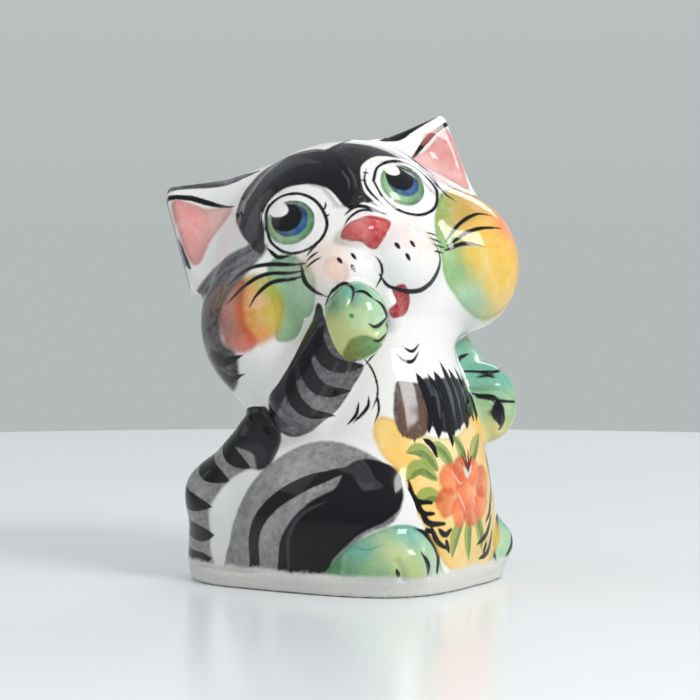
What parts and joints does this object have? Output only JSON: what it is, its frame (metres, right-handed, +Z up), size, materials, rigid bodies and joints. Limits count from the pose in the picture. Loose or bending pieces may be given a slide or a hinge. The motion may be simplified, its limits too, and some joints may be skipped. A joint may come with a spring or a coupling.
{
  "type": "souvenir figurine",
  "caption": "Hollow hand-painted porcelain cat, sitting with its head turned and one paw raised to its cheek, on a flat base.",
  "frame": {"origin": "middle of the bounding box, on the surface that the figurine stands on", "axes": "+Z up, +X the way the cat's body faces, -Y the haunch side that is on display; the face is turned between -Y and +X"},
  "size_m": [0.0494, 0.0416, 0.0704],
  "materials": {
    "painted_porcelain": "gloss",
    "bare_porcelain": "satin"
  },
  "bodies": {
    "root": {"base_plate": "bare_porcelain", "torso_shell": "painted_porcelain", "head_shell": "painted_porcelain", "right_cheek": "painted_porcelain", "left_cheek": "painted_porcelain", "muzzle": "painted_porcelain", "nose": "painted_porcelain", "tongue": "painted_porcelain", "forelock": "painted_porcelain", "right_ear": "painted_porcelain", "left_ear": "painted_porcelain", "right_haunch": "painted_porcelain", "left_haunch": "painted_porcelain", "right_foot": "painted_porcelain", "left_foot": "painted_porcelain", "tail": "painted_porcelain", "raised_arm": "painted_porcelain", "raised_paw": "painted_porcelain", "lowered_arm": "painted_porcelain", "lowered_paw": "painted_porcelain"}
  },
  "joints": []
}
